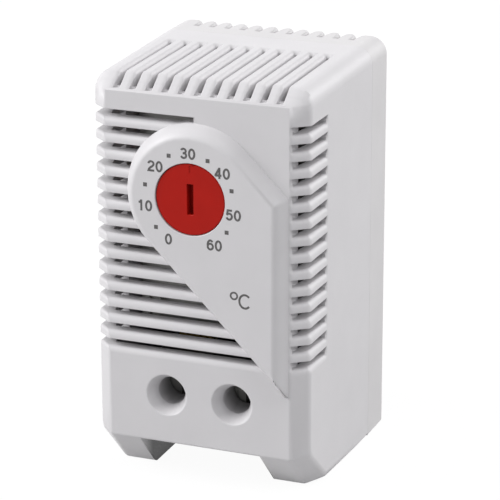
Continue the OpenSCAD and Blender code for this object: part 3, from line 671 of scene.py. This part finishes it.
FIGURES = {
    "0": [arc((0, 0), (HALF_W, HALF_H), 0, 360, 28)],
    "1": [[(0.06, -0.5), (0.06, 0.5)], [(-0.19, 0.26), (-0.09, 0.275), (-0.01, 0.32), (0.045, 0.42)]],
    "2": [arc((0, 0.19), (HALF_W, 0.22), 175, -25)
          + [(0.12, -0.02), (-0.06, -0.14), (-0.19, -0.27), (-HALF_W, -HALF_H), (0.29, -HALF_H)]],
    "3": [arc((-0.01, 0.205), (0.21, 0.205), 165, -80), arc((0, -0.19), (HALF_W, 0.22), 95, -165),
          [(-0.07, 0.01), (0.04, 0.01)]],
    "4": [[(0.11, -0.5), (0.11, 0.5)], [(0.1, 0.42), (-0.25, -0.17)], [(-0.32, -0.2), (0.3, -0.2)]],
    "5": [[(0.25, HALF_H), (-0.14, HALF_H), (-0.2, -0.02)],
          arc((-0.005, -0.14), (HALF_W + 0.01, 0.27), 152, -160)],
    "6": [arc((0, -0.15), (HALF_W, 0.26), 0, 360, 24), arc((0.01, 0), (HALF_W + 0.01, HALF_H), 42, 190)],
    "C": [arc((0, 0), (0.36, 0.425), 42, 318, 24)],
}


def ribbon(shape, line, pen):
    """Adds a pen line as a flat strip in the front plane, with mitred corners."""
    closed = (Vector(line[0]) - Vector(line[-1])).length < SAME_POINT
    points = [Vector(point) for point in (line[:-1] if closed else line)]
    rows = []
    for i, point in enumerate(points):
        before = points[i - 1] if i or closed else None
        after = points[(i + 1) % len(points)] if closed or i + 1 < len(points) else None
        ways = [(point - before).normalized()] if before is not None else []
        ways += [(after - point).normalized()] if after is not None else []
        along = sum(ways, Vector((0, 0))).normalized()
        across = Vector((-along.y, along.x)) * (pen / 2) / max(along.dot(ways[0]), SHARPEST_MITRE)
        rows.append([shape.verts.new((side.x, 0, side.y)) for side in (point + across, point - across)])
    pairs = list(zip(rows, rows[1:])) + ([(rows[-1], rows[0])] if closed else [])
    return [shape.faces.new((a[0], b[0], b[1], a[1])) for a, b in pairs]


def thicken(shape, faces):
    """Turns flat printing outwards and gives it the ink's thickness."""
    bmesh.ops.recalc_face_normals(shape, faces=faces)
    bmesh.ops.solidify(shape, geom=faces, thickness=2 * INK_MM * MM)


def ink(shape, name):
    """A finished piece of printing, which rides on the case."""
    piece = object_from(shape, name, scale_ink)
    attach(piece, "case")


def printed(name, text, height_mm, pen_mm, centre):
    """Flat figures on the front, centred on a point. Lines that cross lie a hair above each other."""
    shape = bmesh.new()
    for place, letter in enumerate(text):
        for layer, line in enumerate(FIGURES[letter]):
            faces = ribbon(shape, line, pen_mm / height_mm)
            corners = each_once(vertex for face in faces for vertex in face.verts)
            step = Vector(((place - (len(text) - 1) / 2) * ADVANCE, 0, 0))
            proud = FORWARDS * (1 + LAYER_SHARE * layer) * INK_MM * MM
            bmesh.ops.translate(shape, verts=corners, vec=step)
            bmesh.ops.scale(shape, verts=corners, vec=Vector((1, 1, 1)) * height_mm * MM)
            bmesh.ops.translate(shape, verts=corners, vec=centre + proud)
            thicken(shape, faces)
    ink(shape, name)


print("figures drawn as lines:", "".join(FIGURES))

# %% [markdown]
# The numbers and marks stand where the print has them, in millimetres across and up. They follow a ring
# round the knob, but not exactly, since the print and the knob's hole are made one after the other.
# %% Numbers and marks
PEN_MM = 0.3
NUMBER_HEIGHT_MM = 1.6
NUMBER_PLACES = {"0": (-3.40, 37.57), "10": (-6.92, 42.07), "20": (-5.26, 47.90), "30": (-0.37, 50.21),
                 "40": (4.72, 47.93), "50": (6.31, 42.13), "60": (3.47, 37.47)}
MARK_SIDE_MM = 0.58
MARK_PLACES = [(-5.26, 39.12), (-6.81, 45.12), (-3.20, 49.63), (2.57, 49.49), (6.07, 45.58), (5.31, 39.54)]


def on_plate(place):
    """A point of the plate's flat top, from millimetres across and up from the feet."""
    return Vector((place[0] * MM, cad_low.y, front_low.z + place[1] * MM))


def printed_mark(name, centre, side_mm):
    """A small square mark on the front."""
    shape = bmesh.new()
    bmesh.ops.create_cube(shape, size=1.0)
    bmesh.ops.scale(shape, verts=shape.verts, vec=Vector((side_mm, 2 * INK_MM, side_mm)) * MM)
    bmesh.ops.translate(shape, verts=shape.verts, vec=centre)
    ink(shape, name)


for text, place in NUMBER_PLACES.items():
    printed("scale_" + text, text, NUMBER_HEIGHT_MM, PEN_MM, on_plate(place))
for count, place in enumerate(MARK_PLACES):
    printed_mark(f"scale_mark_{count}", on_plate(place), MARK_SIDE_MM)
print("numbers:", len(NUMBER_PLACES), "marks:", len(MARK_PLACES))

# %% [markdown]
# The unit sits lower on the plate: a larger C, and a ring for the degree sign.
# %% Unit
UNIT_PLACE, UNIT_HEIGHT_MM = (7.97, 29.8), 2.3
DEGREE_PLACE, DEGREE_RADIUS_MM, DEGREE_LINE_MM = (6.34, 30.46), 0.62, 0.26
printed("unit_c", "C", UNIT_HEIGHT_MM, PEN_MM, on_plate(UNIT_PLACE))


def degree_ring(name, centre, radius_mm, line_mm):
    """The degree sign: a flat ring between two circles."""
    shape = bmesh.new()
    turn = Matrix.Translation(centre + FORWARDS * INK_MM * MM) @ Matrix.Rotation(math.radians(90), 4, "X")
    circles = [bmesh.ops.create_circle(shape, segments=32, radius=radius * MM, matrix=turn)["verts"]
               for radius in (radius_mm, radius_mm - line_mm)]
    rims = each_once(edge for circle in circles for vertex in circle for edge in vertex.link_edges)
    thicken(shape, bmesh.ops.bridge_loops(shape, edges=rims)["faces"])
    ink(shape, name)


degree_ring("unit_degree", on_plate(DEGREE_PLACE), DEGREE_RADIUS_MM, DEGREE_LINE_MM)

# %% [markdown]
# The studio is a white sweep of floor under a soft sky. The floor turns partly into plain white for the
# camera alone, which keeps a faint shadow and costs the object no light.
# %% Floor and sky
SKY_COLOUR, SKY_STRENGTH = (0.97, 0.98, 1.0, 1.0), 0.49
WHITE = (1.0, 1.0, 1.0, 1.0)
FLOOR_COLOUR, FLOOR_ROUGHNESS = (0.5, 0.5, 0.5, 1.0), 0.9
FLOOR_SIDE_M = 6.0
FLOOR_WHITENESS, FLOOR_GLOW = 0.9, 1.06


def camera_sees(tree):
    """One for rays from the camera, and for those that it sends on through gloss or glass."""
    rays = tree.nodes.new("ShaderNodeLightPath").outputs
    either = calculate(tree, "MAXIMUM", rays["Is Camera Ray"], rays["Is Glossy Ray"])
    return calculate(tree, "MAXIMUM", either, rays["Is Transmission Ray"])


def mix_into(tree, surface, factor, first, second):
    """Feeds a surface with a mix of two shaders."""
    mix = tree.nodes.new("ShaderNodeMixShader")
    for socket, output in zip(mix.inputs, (factor, first, second)):
        tree.links.new(output, socket)
    tree.links.new(mix.outputs[0], surface)


def add_sky():
    world = bpy.data.worlds.new("studio_sky")
    world.use_nodes = True
    scene.world = world
    tree = world.node_tree
    soft = tree.nodes["Background"]
    white = tree.nodes.new("ShaderNodeBackground")
    soft.inputs["Color"].default_value = SKY_COLOUR
    soft.inputs["Strength"].default_value = SKY_STRENGTH
    white.inputs["Color"].default_value = WHITE
    surface = tree.nodes["World Output"].inputs["Surface"]
    mix_into(tree, surface, camera_sees(tree), soft.outputs[0], white.outputs[0])


def add_floor():
    material, tree, shader = new_finish("floor_white", FLOOR_ROUGHNESS)
    shader.inputs["Base Color"].default_value = FLOOR_COLOUR
    glow = tree.nodes.new("ShaderNodeEmission")
    glow.inputs["Strength"].default_value = FLOOR_GLOW
    share = calculate(tree, "MULTIPLY", camera_sees(tree), FLOOR_WHITENESS)
    surface = tree.nodes["Material Output"].inputs["Surface"]
    mix_into(tree, surface, share, shader.outputs[0], glow.outputs[0])
    shape = bmesh.new()
    bmesh.ops.create_grid(shape, x_segments=1, y_segments=1, size=FLOOR_SIDE_M / 2)
    floor = object_from(shape, "studio_floor", material)


add_sky()
add_floor()
print("sky strength:", SKY_STRENGTH, "floor side in m:", FLOOR_SIDE_M)

# %% [markdown]
# Three square lamps stand in a ring and look at the middle of the case. A strong one on the upper left
# models the front and the top, one behind on the right grazes the side, and a weak high one on the right
# lifts the slopes that face up.
# %% Lamps
LAMP_DISTANCE_M = 0.8
LAMP_SIDE_M = 0.4
LAMP_AIM = UPWARDS * 30 * MM
LAMPS = {"left_lamp": (-65, 30, 5.3), "right_lamp": (140, 25, 3.1), "high_lamp": (60, 60, 1.85)}


def add_lamp(name, azimuth_deg, elevation_deg, watts):
    outwards = direction(math.radians(azimuth_deg), math.radians(elevation_deg))
    data = bpy.data.lights.new(name, "AREA")
    data.size = LAMP_SIDE_M
    data.energy = watts
    lamp = link(bpy.data.objects.new(name, data))
    lamp.matrix_world = (Matrix.Translation(outwards * LAMP_DISTANCE_M + LAMP_AIM)
                         @ outwards.to_track_quat("Z", "Y").to_matrix().to_4x4())


for name, (azimuth_deg, elevation_deg, watts) in LAMPS.items():
    add_lamp(name, azimuth_deg, elevation_deg, watts)
scene.view_settings.view_transform = "Standard"
print("lamps in watts:", {name: watts for name, (_, _, watts) in LAMPS.items()})
